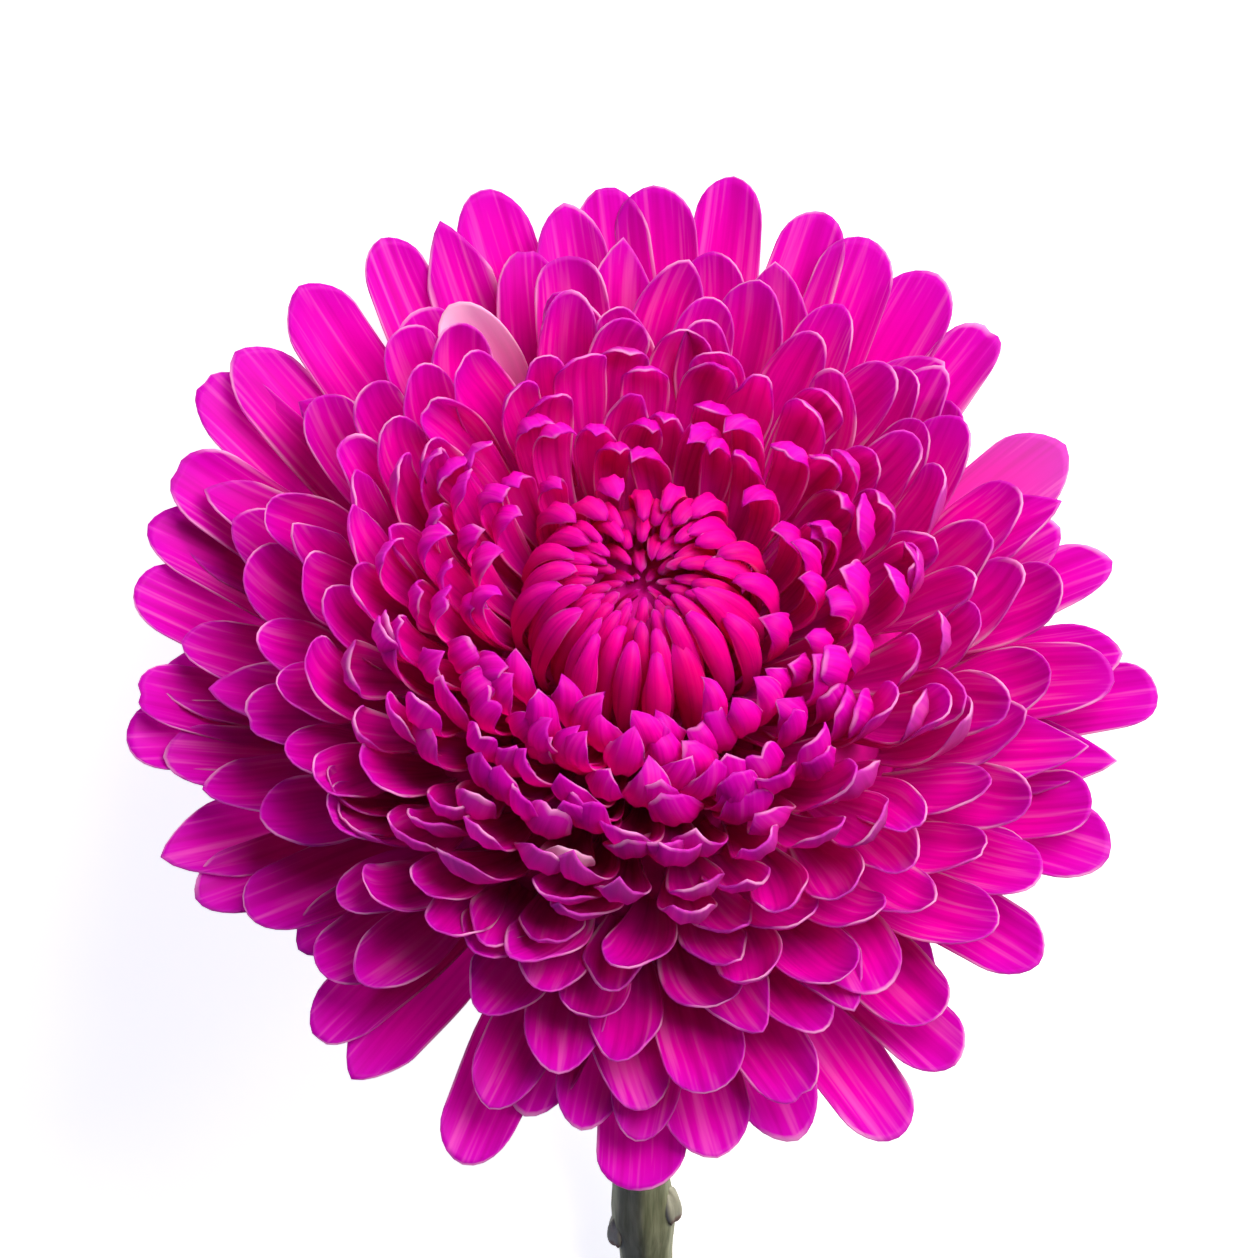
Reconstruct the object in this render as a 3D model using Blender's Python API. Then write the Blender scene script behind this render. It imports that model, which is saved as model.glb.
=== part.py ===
"""A pompon chrysanthemum, one cut flower lying on a table with its face turned up and forward.

The bloom rests on the tips of its lowest florets and the stem bows down behind it to the table.
Sizes are in millimetres in the constants, and metres in the scene. +Z is up, the face looks along -Y,
and the origin is on the table, under the middle of the whole flower.
"""

import math
import random
from typing import NamedTuple

import bmesh
import bpy
import numpy as np
from mathutils import Matrix, Vector

MM = 0.001
SEED = 1258
GOLDEN_ANGLE = 137.508

# The head's own frame has its origin in the middle of the widest ring of floret tips, and its Z along the
# bloom's axis, towards the heart. Its X runs to the left in the world and its Y down to the table.
HEAD_TILT = math.radians(30)
HEAD_CENTRE = Vector((0.1, -65.3, 42.0)) * MM

# The core is the packed floret claws inside the bloom: (radius, height) in the head's frame.
CORE_PROFILE = (
    (12.0, -14.2), (13.0, -12.4), (21.0, -9.0), (26.0, -3.0), (26.5, 3.0), (22.0, 9.3), (8.0, 12.6),
)
HEART_CORE_PROFILE = ((7.6, 13.3), (8.8, 15.2), (8.2, 19.0), (4.6, 22.0))
CORE_SIDES = 20
HEART_CORE_SIDES = 12

# Ray florets by the radius of their tips: tip radius and height, root radius and height, lean from the
# axis at the root and at the tip in degrees, breadth, and half the angle the blade curls through.
RAY_ROWS = (
    (13.5, 27.6, 10.6, 11.6, 32.0, -38.0, 4.6, 64.0),
    (17.5, 27.8, 11.6, 11.2, 40.0, -24.0, 5.0, 62.0),
    (22.0, 26.8, 14.2, 10.4, 46.0, -8.0, 5.6, 58.0),
    (27.5, 24.6, 17.2, 9.0, 50.0, 13.0, 6.2, 53.0),
    (33.0, 20.8, 20.5, 6.5, 55.0, 36.0, 6.9, 47.0),
    (38.0, 16.0, 23.0, 3.0, 60.0, 55.0, 7.5, 41.0),
    (43.0, 9.5, 23.5, -1.5, 68.0, 74.0, 8.0, 35.0),
    (48.0, 2.0, 20.0, -7.5, 80.0, 88.0, 8.4, 29.0),
    (53.0, -5.0, 10.5, -13.2, 90.0, 92.0, 8.6, 24.0),
)
# How much a floret that is lifted above its row turns up, in degrees for each millimetre.
LIFT_TURN = 1.6
# The ring of the outer tips is tilted: they stand this much higher towards the table, and lower on the far
# side. The tilt begins at the first tip radius and is whole at the second.
RING_TILT = 6.0
RING_TILT_RADII = (30.0, 48.0)
# How irregular the placed florets of the outline and the heart's are, as a share of the other florets'.
RIM_WILDNESS = 0.35
HEART_WILDNESS = 0.4
# How many ray florets lie outside each tip radius, which sets how closely they stand.
RAY_COUNTS = (
    (0, 48.0), (22, 44.0), (44, 40.0), (66, 36.0), (88, 32.0), (112, 28.0), (138, 24.0), (166, 19.5),
    (203, 13.6),
)
RAY_NUMBER = 204
# How far, in radians, the spiral's florets are pushed round the axis, away from the table.
CROWDING = 0.2

# Heart florets, rolled nearly to tubes and bent in over the middle, in the same terms.
HEART_ROWS = (
    (0.5, 24.2, 2.6, 16.5, 4.0, -40.0, 1.9, 84.0),
    (1.2, 25.0, 4.6, 16.0, 10.0, -84.0, 2.3, 84.0),
    (2.2, 26.0, 6.4, 15.2, 15.0, -100.0, 2.8, 82.0),
    (3.6, 27.0, 7.8, 14.4, 19.0, -98.0, 3.3, 80.0),
    (5.2, 27.9, 8.8, 13.4, 25.0, -88.0, 3.8, 76.0),
    (8.6, 28.4, 9.4, 12.8, 32.0, -60.0, 4.4, 68.0),
)
HEART_COUNTS = ((0, 8.2), (12, 5.6), (26, 3.6), (38, 2.0), (45, 0.6))
HEART_NUMBER = 46

# The florets that make the bloom's outline: azimuth in degrees, reach from the axis, and height of the tip.
RIM_FLORETS = (
    (358, 52, 1), (4, 49, 2), (14, 49, 4), (20, 46, 3), (29, 50, 5), (46, 52, 7), (54, 53, 8), (62, 52, 9),
    (69, 53, 9), (79, 55, 10), (86, 53, 10), (92, 53, 10), (99, 51, 10), (107, 55, 10), (114, 53, 10),
    (122, 54, 10), (132, 55, 9), (141, 54, 8), (147, 55, 7), (155, 53, 6), (158, 51, 2), (163, 53, 4),
    (171, 53, 3), (179, 50, 0), (182, 52, 2), (187, 52, 1), (193, 49, 0), (200, 52, -2), (206, 50, -3),
    (211, 47, -2), (220, 44, -3), (228, 49, -4), (235, 50, -5), (250, 52, -6), (257, 46, -6), (264, 47, -5),
    (270, 52, -7), (277, 50, -6), (286, 49, -6), (298, 53, -6), (307, 51, -5), (313, 43, -3), (325, 50, -3),
    (331, 45, -2), (341, 50, -2), (349, 49, 0),
)
# The lowest florets of the far side, which carry the bloom on the table.
RESTING_FLORETS = ((63, 54.0, -5), (76, 49.5, -5), (90, 48.0, -5), (104, 49.5, -5), (117, 54.0, -5))
# Notches in the outline: azimuth, half width in degrees and the reach they leave.
NOTCHES = ((37, 7, 41.5), (214, 6, 38.0), (240, 6, 38.5), (302, 5, 43.0))

# How far a fully irregular floret may stray from its rule: in degrees round the axis, in millimetres at its
# tip, in degrees of lean, in shares of its breadth and curl, and in degrees of sideways drift and of roll.
AZIMUTH_STRAY = 2.0
REACH_STRAY = 0.8
HEIGHT_STRAY = 1.0
LEAN_STRAY = 8.0
BREADTH_STRAY = 0.09
CURL_STRAY = 0.2
DRIFT_STRAY = 6.0
ROLL_STRAY = 11.0

BLADE_THICKNESS = 0.7
# How strongly a blade's middle line holds its leans, as a share of the straight line from root to tip.
MIDLINE_PULL = 0.36
# The blade has its whole breadth from this share of its length on.
WIDE_FROM = 0.7
# The blade's rounded end, and the last cross-section before its tip, in breadths from the tip.
END_ROUNDING = 0.62
LAST_SECTION = 0.13
# The breadth of the claw as a share of the blade's, by tip radius.
CLAW_SHARES = ((13.0, 0.66), (40.0, 0.34))
# Blades longer than this have one more cross-section half way along, in millimetres.
LONG_BLADE = 28.0
# A blade that bends by more than this has its middle cross-section where it bends, in place of its shoulder.
BENT_BLADE = math.radians(30)
BEND_SECTION = 0.58
# The blade's end hooks inwards by this much, from this share of its length on.
END_HOOK = 0.9
HOOK_START = 0.7
FLAT_SPOT_RISE = 0.7

# The green cup of bracts behind the bloom: (radius, height) down its outside, and its rows of bracts.
CUP_PROFILE = ((12.2, -14.9), (12.6, -16.2), (11.0, -18.6), (7.4, -21.4), (4.6, -23.4), (3.4, -26.0))
CUP_SIDES = 20
# Each row: number, root height, root radius, tip height, tip radius, breadth.
BRACT_ROWS = (
    (13, -21.5, 5.5, -17.8, 12.4, 3.6),
    (13, -19.6, 8.0, -16.2, 14.6, 4.2),
    (14, -17.8, 10.2, -15.3, 16.4, 4.6),
)
BRACT_CURL = 0.6

# The stem leaves the cup along the head's axis, bows down to the table and lies along it.
STEM_TOP = -26.3
STEM_REACH = 142.1
STEM_RADIUS = 2.65
STEM_NECK_SWELL = 0.7
STEM_NECK_LENGTH = 7.0
STEM_FOOT_SWELL = 0.4
STEM_RIDGE = 0.14
STEM_SIDES = 12
STEM_RINGS = 36
STEM_SWAY = 1.2
STEM_CUT_SLANT = 0.7
# Stripped leaf joints down the stem: reach from the cup, side in degrees from +X round over the top, size.
LEAF_JOINTS = (
    (14, 150, 1.0), (30, 20, 1.1), (47, 200, 1.1), (62, 85, 1.2), (70, 172, 1.0), (75.5, 165, 1.7),
    (79, 18, 1.5), (97, 120, 1.2), (113, 10, 1.3), (130, 165, 1.4),
)
JOINT_SWELL = 0.3
JOINT_SPREAD = 3.0
# The bud at a joint of size 1: how far it stands out, its half breadth and half length, and its sinking.
JOINT_SHAPE = (0.75, 1.0, 1.35)
JOINT_SINK = 0.1

# Base colour, linear, and roughness of each sub-part.
RAY_FINISH = ((0.62, 0.0, 0.32), 0.5)
HEART_FINISH = ((0.6, 0.0, 0.2), 0.5)
BRACT_FINISH = ((0.12, 0.18, 0.06), 0.6)
STEM_FINISH = ((0.1, 0.1, 0.05), 0.65)


class Floret(NamedTuple):
    """One floret's place and shape, lengths in millimetres and angles in radians, in the head's frame."""

    azimuth: float
    root: tuple
    tip: tuple
    root_lean: float
    tip_lean: float
    breadth: float
    curl: float
    drift: float
    roll: float
    hook: float
    claw: float


def head_to_world():
    """The matrix from the head's frame, in millimetres, to the world, in metres."""
    sine, cosine = math.sin(HEAD_TILT), math.cos(HEAD_TILT)
    turn = Matrix(((-1, 0, 0), (0, -sine, -cosine), (0, -cosine, sine))).transposed()
    return Matrix.Translation(HEAD_CENTRE) @ turn.to_4x4() @ Matrix.Scale(MM, 4)


def notch_reach(azimuth, reach):
    """The reach of a floret after the notches in the outline have held it back."""
    for middle, half_width, limit in NOTCHES:
        apart = abs((azimuth - middle + 180) % 360 - 180)
        if apart < half_width:
            reach = min(reach, limit)
    return reach


def grown_floret(draw, rows, azimuth, tip_radius, tip_height=None, wild=1.0):
    """A floret by the rule for its tip radius, with its own seeded share of irregularity."""
    table = np.array(rows)
    height, root_radius, root_height, root_lean, tip_lean, breadth, curl = (
        float(np.interp(tip_radius, table[:, 0], table[:, column])) for column in range(1, 8)
    )
    if tip_height is not None:
        turn_up = LIFT_TURN * (tip_height - height)
        root_lean -= turn_up
        tip_lean -= turn_up
        height = tip_height
    stray = [draw.uniform(-1, 1) for _ in range(8)]
    return Floret(
        azimuth=math.radians(azimuth + AZIMUTH_STRAY * wild * stray[0]),
        root=(root_radius, root_height),
        tip=(tip_radius + REACH_STRAY * wild * stray[1], height + HEIGHT_STRAY * wild * stray[2]),
        root_lean=math.radians(root_lean),
        tip_lean=math.radians(tip_lean + LEAN_STRAY * wild * stray[3]),
        breadth=breadth * (1 + BREADTH_STRAY * stray[4]),
        curl=math.radians(curl * (1 + CURL_STRAY * stray[5])),
        drift=math.radians(DRIFT_STRAY * wild * stray[6]),
        roll=math.radians(ROLL_STRAY * wild * stray[7]),
        hook=END_HOOK,
        claw=float(np.interp(tip_radius, *zip(*CLAW_SHARES))),
    )


def tilted_height(azimuth, tip_radius):
    """The height of a tip at this azimuth in degrees, by its row and the tilt of the outer ring."""
    rows = np.array(RAY_ROWS)
    level = float(np.interp(tip_radius, rows[:, 0], rows[:, 1]))
    share = float(np.interp(tip_radius, RING_TILT_RADII, (0.0, 1.0)))
    return level + RING_TILT * share * math.sin(math.radians(azimuth))


def ray_florets():
    """Every ray floret, the outline's first and then inwards in the golden spiral."""
    draw = random.Random(SEED)
    florets = [grown_floret(draw, RAY_ROWS, *placed, wild=RIM_WILDNESS) for placed in RIM_FLORETS]
    florets += [grown_floret(draw, RAY_ROWS, *placed, wild=0.0) for placed in RESTING_FLORETS]
    counts = np.array(RAY_COUNTS)
    for number in range(RAY_NUMBER):
        azimuth = number * GOLDEN_ANGLE
        azimuth = (azimuth - math.degrees(CROWDING * math.cos(math.radians(azimuth)))) % 360
        radius = notch_reach(azimuth, float(np.interp(number, counts[:, 0], counts[:, 1])))
        florets.append(grown_floret(draw, RAY_ROWS, azimuth, radius, tilted_height(azimuth, radius)))
    return florets


def heart_florets():
    """The small incurved florets over the middle, in the same spiral."""
    draw = random.Random(SEED + 1)
    counts = np.array(HEART_COUNTS)
    florets = []
    for number in range(HEART_NUMBER):
        azimuth = number * GOLDEN_ANGLE % 360
        radius = float(np.interp(number, counts[:, 0], counts[:, 1]))
        florets.append(grown_floret(draw, HEART_ROWS, azimuth, radius, wild=HEART_WILDNESS))
    return florets


def blade_sections(floret, length):
    """The shares of the blade's length at which it has a cross-section, the tip last."""
    shoulder = 1 - END_ROUNDING * floret.breadth / length
    last = 1 - LAST_SECTION * floret.breadth / length
    if length > LONG_BLADE:
        return (0.0, 0.5 * shoulder, shoulder, last, 1.0)
    if floret.root_lean - floret.tip_lean > BENT_BLADE:
        return (0.0, BEND_SECTION, last, 1.0)
    return (0.0, shoulder, last, 1.0)


def breadth_at(floret, along, length):
    """The blade's breadth at a share of its length: widening from the claw, then a rounded end."""
    widened = min(along / WIDE_FROM, 1.0)
    share = floret.claw + (1 - floret.claw) * widened * widened * (3 - 2 * widened)
    from_tip = (1 - along) * length / (END_ROUNDING * floret.breadth)
    if from_tip < 1:
        share *= math.sqrt(1 - (1 - from_tip) ** 2)
    return floret.breadth * share


def midline(floret, along):
    """A point of the floret's middle line, a Bezier curve that also drifts a little round the axis."""
    root, tip = Vector(floret.root), Vector(floret.tip)
    handle = MIDLINE_PULL * (tip - root).length
    leave = root + handle * Vector((math.sin(floret.root_lean), math.cos(floret.root_lean)))
    arrive = tip - handle * Vector((math.sin(floret.tip_lean), math.cos(floret.tip_lean)))
    back = 1 - along
    radius, height = (
        back**3 * root + 3 * back**2 * along * leave + 3 * back * along**2 * arrive + along**3 * tip
    )
    azimuth = floret.azimuth + floret.drift * along**2
    return Vector((radius * math.cos(azimuth), radius * math.sin(azimuth), height))


def floret_frame(floret, along):
    """Centre, sideways and inward-facing directions of the floret's cross-section."""
    step = 0.01
    centre = midline(floret, along)
    tangent = (midline(floret, along + step) - midline(floret, along - step)).normalized()
    azimuth = floret.azimuth + floret.drift * along**2
    sideways = Vector((-math.sin(azimuth), math.cos(azimuth), 0))
    facing = tangent.cross(sideways).normalized()
    sideways = facing.cross(tangent)
    turn = Matrix.Rotation(floret.roll * along, 3, tangent)
    return centre, turn @ sideways, turn @ facing


def lay_on_table(point, least_height):
    """Bends a world point up to the table where it would pass below it."""
    return Vector((point.x, point.y, max(point.z, least_height)))


def add_object(name, mesh, collection):
    """An object of its own from a bmesh, with its faces turned outwards."""
    bmesh.ops.recalc_face_normals(mesh, faces=mesh.faces)
    data = bpy.data.meshes.new(name)
    mesh.to_mesh(data)
    mesh.free()
    thing = bpy.data.objects.new(name, data)
    collection.objects.link(thing)
    return thing


def add_blade(name, floret, place, collection):
    """One floret as a closed blade with a folded cross-section, four points to a station, one at the tip."""
    mesh = bmesh.new()
    rings = []
    length = (Vector(floret.tip) - Vector(floret.root)).length
    sections = blade_sections(floret, length)
    for along in sections[:-1]:
        centre, sideways, facing = floret_frame(floret, along)
        half = breadth_at(floret, along, length) / 2
        edge_out = half * math.sin(floret.curl) / floret.curl
        edge_up = half * (1 - math.cos(floret.curl)) / floret.curl
        lift = floret.hook * max(0.0, (along - HOOK_START) / (1 - HOOK_START)) ** 2
        centre = centre + lift * facing
        corners = (
            (centre - edge_out * sideways + edge_up * facing, 0.0),
            (centre - BLADE_THICKNESS / 2 * facing, 0.0),
            (centre + edge_out * sideways + edge_up * facing, 0.0),
            (centre + BLADE_THICKNESS / 2 * facing, FLAT_SPOT_RISE),
        )
        rings.append([mesh.verts.new(lay_on_table(place @ p, least * MM)) for p, least in corners])
    centre, _, facing = floret_frame(floret, sections[-1])
    tip = mesh.verts.new(lay_on_table(place @ (centre + floret.hook * facing), 0.0))
    for near, far in zip(rings, rings[1:]):
        for corner in range(4):
            after = (corner + 1) % 4
            mesh.faces.new((near[corner], near[after], far[after], far[corner]))
    for corner in range(4):
        mesh.faces.new((rings[-1][corner], rings[-1][(corner + 1) % 4], tip))
    mesh.faces.new(reversed(rings[0]))
    bmesh.ops.triangulate(mesh, faces=mesh.faces)
    add_object(name, mesh, collection)


def turned_solid(name, profile, sides, place):
    """A solid turned round the head's axis from (radius, height) points, closed at both ends."""
    mesh = bmesh.new()
    rings = []
    for radius, height in profile:
        ring = []
        for side in range(sides):
            angle = 2 * math.pi * side / sides
            point = Vector((radius * math.cos(angle), radius * math.sin(angle), height))
            ring.append(mesh.verts.new(place @ point))
        rings.append(ring)
    bmesh.ops.contextual_create(mesh, geom=rings[0])
    bmesh.ops.contextual_create(mesh, geom=rings[-1])
    for lower, upper in zip(rings, rings[1:]):
        for side in range(sides):
            after = (side + 1) % sides
            mesh.faces.new((lower[side], lower[after], upper[after], upper[side]))
    return add_object(name, mesh, bpy.context.scene.collection)


def keep_largest_body(solid):
    """Drops the scraps and sealed hollows that a union leaves, and keeps the one body."""
    mesh = bmesh.new()
    mesh.from_mesh(solid.data)
    unseen = set(mesh.verts)
    bodies = []
    while unseen:
        body = set()
        edge_of_body = [unseen.pop()]
        while edge_of_body:
            vertex = edge_of_body.pop()
            body.add(vertex)
            around = {edge.other_vert(vertex) for edge in vertex.link_edges} & unseen
            unseen -= around
            edge_of_body.extend(around)
        bodies.append(body)
    bodies.sort(key=len)
    for scrap in bodies[:-1]:
        bmesh.ops.delete(mesh, geom=list(scrap), context="VERTS")
    mesh.to_mesh(solid.data)
    mesh.free()


def fuse(body, collection):
    """Joins every object of the collection to the body in one Boolean union, and removes them."""
    union = body.modifiers.new("grown_together", "BOOLEAN")
    union.operation = "UNION"
    union.operand_type = "COLLECTION"
    union.collection = collection
    union.solver = "MANIFOLD"
    bpy.context.view_layer.objects.active = body
    bpy.ops.object.modifier_apply(modifier=union.name)
    for piece in list(collection.objects):
        bpy.data.objects.remove(piece)
    bpy.data.collections.remove(collection)
    keep_largest_body(body)


def new_collection(name):
    collection = bpy.data.collections.new(name)
    bpy.context.scene.collection.children.link(collection)
    return collection


def paint(solid, name, finish):
    """Gives the solid its own material."""
    colour, roughness = finish
    material = bpy.data.materials.new(name)
    material.use_nodes = True
    shader = material.node_tree.nodes["Principled BSDF"]
    shader.inputs["Base Color"].default_value = (*colour, 1.0)
    shader.inputs["Roughness"].default_value = roughness
    solid.data.materials.clear()
    solid.data.materials.append(material)


def build_ray_florets(place):
    core = turned_solid("ray_florets", CORE_PROFILE, CORE_SIDES, place)
    blades = new_collection("ray_blades")
    for number, floret in enumerate(ray_florets()):
        add_blade(f"ray_blade_{number}", floret, place, blades)
    fuse(core, blades)
    paint(core, "magenta_floret", RAY_FINISH)


def build_heart_florets(place):
    core = turned_solid("heart_florets", HEART_CORE_PROFILE, HEART_CORE_SIDES, place)
    blades = new_collection("heart_blades")
    for number, floret in enumerate(heart_florets()):
        add_blade(f"heart_blade_{number}", floret, place, blades)
    fuse(core, blades)
    paint(core, "crimson_floret", HEART_FINISH)


def bract_florets():
    """The bracts of the cup, as short pointed blades in overlapping rows."""
    bracts = []
    for row, (number, root_height, root_radius, tip_height, tip_radius, breadth) in enumerate(BRACT_ROWS):
        lean = math.atan2(tip_radius - root_radius, tip_height - root_height)
        for place_in_row in range(number):
            azimuth = 2 * math.pi * (place_in_row + 0.5 * (row % 2)) / number
            bracts.append(
                Floret(
                    azimuth=azimuth,
                    root=(root_radius, root_height),
                    tip=(tip_radius, tip_height),
                    root_lean=lean,
                    tip_lean=lean,
                    breadth=breadth,
                    curl=BRACT_CURL,
                    drift=0.0,
                    roll=0.0,
                    hook=0.0,
                    claw=1.0,
                )
            )
    return bracts


def build_involucre(place):
    cup = turned_solid("involucre", CUP_PROFILE, CUP_SIDES, place)
    blades = new_collection("bract_blades")
    for number, bract in enumerate(bract_florets()):
        add_blade(f"bract_{number}", bract, place, blades)
    fuse(cup, blades)
    paint(cup, "green_bract", BRACT_FINISH)


def stem_centre(reach):
    """A point of the stem's middle line in world millimetres, by its horizontal reach from the cup."""
    top = HEAD_CENTRE / MM + STEM_TOP * Vector((0, -math.cos(HEAD_TILT), math.sin(HEAD_TILT)))
    drop = top.z - STEM_RADIUS
    bow = 2 * drop / math.tan(HEAD_TILT)
    height = STEM_RADIUS + drop * max(0.0, 1 - reach / bow) ** 2
    sway = STEM_SWAY * math.sin(2 * math.pi * reach / STEM_REACH)
    return Vector((top.x + sway, top.y + reach, height))


def stem_radius(reach):
    """The stem's radius: thick at the neck, swollen at each leaf joint, a little thicker to its foot."""
    neck = STEM_NECK_SWELL * math.exp(-reach / STEM_NECK_LENGTH)
    radius = STEM_RADIUS + neck + STEM_FOOT_SWELL * reach / STEM_REACH
    for joint, _, size in LEAF_JOINTS:
        radius += JOINT_SWELL * size * math.exp(-(((reach - joint) / JOINT_SPREAD) ** 2))
    return radius


def stem_frame(reach):
    """Centre, sideways and upward directions, and the tangent, of the stem's cross-section."""
    step = 0.5
    centre = stem_centre(reach)
    tangent = (stem_centre(reach + step) - stem_centre(reach - step)).normalized()
    if reach == 0:
        tangent = Vector((0, math.cos(HEAD_TILT), -math.sin(HEAD_TILT)))
    sideways = (Vector((1, 0, 0)) - tangent.x * tangent).normalized()
    return centre, sideways, tangent.cross(-sideways), tangent


def stem_side(reach, angle, stand_out=0.0):
    """A point on the stem's side, in world metres, laid on the table where it would pass below it."""
    centre, sideways, upwards, _ = stem_frame(reach)
    radius = stem_radius(reach) + stand_out
    point = centre + radius * (math.cos(angle) * sideways + math.sin(angle) * upwards)
    return lay_on_table(point * MM, 0.0)


def add_leaf_joint(name, reach, side, size, collection):
    """The stub of a stripped leaf and the bud in its axil, as one rounded bump on the stem."""
    centre, sideways, upwards, tangent = stem_frame(reach)
    outward = math.cos(side) * sideways + math.sin(side) * upwards
    middle = centre + (stem_radius(reach) - JOINT_SINK * size) * outward
    turn = Matrix((outward, tangent.cross(outward), tangent)).transposed()
    stretch = Matrix.Diagonal(size * Vector(JOINT_SHAPE))
    mesh = bmesh.new()
    bmesh.ops.create_icosphere(mesh, subdivisions=2, radius=1, matrix=(turn @ stretch).to_4x4())
    for vertex in mesh.verts:
        vertex.co = lay_on_table((vertex.co + middle) * MM, 0.0)
    add_object(name, mesh, collection)


def build_stem():
    mesh = bmesh.new()
    rings = []
    for ring_number in range(STEM_RINGS):
        reach = STEM_REACH * ring_number / (STEM_RINGS - 1)
        ring = []
        for side in range(STEM_SIDES):
            angle = 2 * math.pi * (side + 0.5) / STEM_SIDES
            ridge = STEM_RIDGE * (1 if side % 2 else -1)
            point = stem_side(reach, angle, ridge)
            if ring_number == STEM_RINGS - 1:
                point.y += STEM_CUT_SLANT * (STEM_RADIUS * MM - point.z)
            ring.append(mesh.verts.new(point))
        rings.append(ring)
    for near, far in zip(rings, rings[1:]):
        for side in range(STEM_SIDES):
            after = (side + 1) % STEM_SIDES
            mesh.faces.new((near[side], near[after], far[after], far[side]))
    mesh.faces.new(rings[0])
    mesh.faces.new(rings[-1])
    bmesh.ops.triangulate(mesh, faces=mesh.faces)
    stem = add_object("stem", mesh, bpy.context.scene.collection)
    joints = new_collection("leaf_joints")
    for number, (reach, side, size) in enumerate(LEAF_JOINTS):
        add_leaf_joint(f"leaf_joint_{number}", reach, math.radians(side), size, joints)
    fuse(stem, joints)
    paint(stem, "stripped_stem", STEM_FINISH)


def main():
    for thing in list(bpy.data.objects):
        bpy.data.objects.remove(thing)
    place = head_to_world()
    build_ray_florets(place)
    build_heart_florets(place)
    build_involucre(place)
    build_stem()


main()
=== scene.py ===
"""A pompon chrysanthemum lying on a pale table, seen from above in soft light.

Sizes in the constants are in millimetres and angles in degrees, unless a comment says otherwise. The head's
own frame has its origin in the middle of the widest ring of floret tips and its Z along the bloom's axis,
towards the heart. Its X runs to the left in the world and its Y down to the table. Azimuths turn from X to Y.
"""

import math
import random
from typing import NamedTuple

import bpy
import numpy as np
from mathutils import Matrix, Vector


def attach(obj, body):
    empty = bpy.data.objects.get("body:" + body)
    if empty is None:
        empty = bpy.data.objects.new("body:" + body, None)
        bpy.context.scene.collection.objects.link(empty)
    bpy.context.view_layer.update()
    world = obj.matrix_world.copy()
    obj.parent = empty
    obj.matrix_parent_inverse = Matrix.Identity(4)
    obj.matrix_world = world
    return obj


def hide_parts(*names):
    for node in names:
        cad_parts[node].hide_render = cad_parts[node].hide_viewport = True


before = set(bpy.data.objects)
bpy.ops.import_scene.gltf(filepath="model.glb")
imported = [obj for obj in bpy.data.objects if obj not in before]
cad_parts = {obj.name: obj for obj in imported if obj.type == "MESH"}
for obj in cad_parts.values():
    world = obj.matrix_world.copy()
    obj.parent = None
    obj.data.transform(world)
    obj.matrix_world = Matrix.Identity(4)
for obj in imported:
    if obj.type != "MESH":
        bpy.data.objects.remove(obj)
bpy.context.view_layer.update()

MM = 0.001
SEED = 1258
GOLDEN_ANGLE = 137.508

# Where the head stands and how its axis is tilted up from the table.
HEAD_TILT = math.radians(30)
HEAD_CENTRE = np.array((0.1, -65.3, 42.0))

# Ray florets by the reach of their tips from the axis. Each row has the tip's radius and height, the root's
# radius and height, the lean from the axis at the root and at the tip, the blade's breadth, and half of the
# angle that it curls through.
RAY_ROWS = (
    (13.5, 27.6, 10.6, 11.6, 32.0, -38.0, 4.6, 64.0),
    (17.5, 27.8, 11.6, 11.2, 40.0, -24.0, 5.0, 62.0),
    (22.0, 26.8, 14.2, 10.4, 46.0, -8.0, 5.6, 58.0),
    (27.5, 24.6, 17.2, 9.0, 50.0, 13.0, 6.2, 53.0),
    (33.0, 20.8, 20.5, 6.5, 55.0, 36.0, 6.9, 47.0),
    (38.0, 16.0, 23.0, 3.0, 60.0, 55.0, 7.5, 41.0),
    (43.0, 9.5, 23.5, -1.5, 68.0, 74.0, 8.0, 35.0),
    (48.0, 2.0, 20.0, -7.5, 80.0, 88.0, 8.4, 29.0),
    (53.0, -5.0, 10.5, -13.2, 90.0, 92.0, 8.6, 24.0),
)
LARGEST_REACH = RAY_ROWS[-1][0]
# How far a floret leans in for each millimetre that its tip stands higher than its row says.
LIFT_TURN = 1.6
# The outer ring stands this much higher on the table's side and lower opposite, fully from the second radius.
RING_TILT = 6.0
RING_TILT_RADII = (30.0, 48.0)
# The spiral's florets by number, counted inwards, and the reach of their tips.
RAY_COUNTS = (
    (0, 48.0), (30, 44.0), (62, 40.0), (96, 36.0), (130, 32.0), (166, 28.0), (202, 24.0), (238, 20.0),
    (270, 16.5), (290, 14.0),
)
RAY_NUMBER = RAY_COUNTS[-1][0] + 1
# How far, in radians, the spiral's azimuths are pushed towards the side that faces up from the table.
CROWDING = 0.34
# The heart's florets in the same way.
HEART_ROWS = (
    (0.5, 24.2, 2.6, 16.5, 4.0, -40.0, 1.4, 84.0),
    (1.2, 25.0, 5.2, 16.0, 10.0, -84.0, 1.8, 84.0),
    (2.2, 26.0, 7.6, 15.2, 15.0, -100.0, 2.3, 82.0),
    (3.6, 27.0, 9.4, 14.2, 19.0, -98.0, 2.8, 80.0),
    (5.2, 27.9, 10.6, 12.6, 23.0, -88.0, 3.3, 76.0),
    (8.6, 28.4, 11.4, 11.4, 27.0, -60.0, 4.0, 68.0),
)
HEART_COUNTS = ((0, 8.8), (16, 5.8), (38, 3.9), (60, 2.6), (74, 1.4), (82, 0.5))
HEART_NUMBER = HEART_COUNTS[-1][0] + 1
# How broad a floret's claw is as a share of its blade, by the reach of its tip.
CLAW_SHARES = ((13.0, 0.66), (40.0, 0.34))

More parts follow.
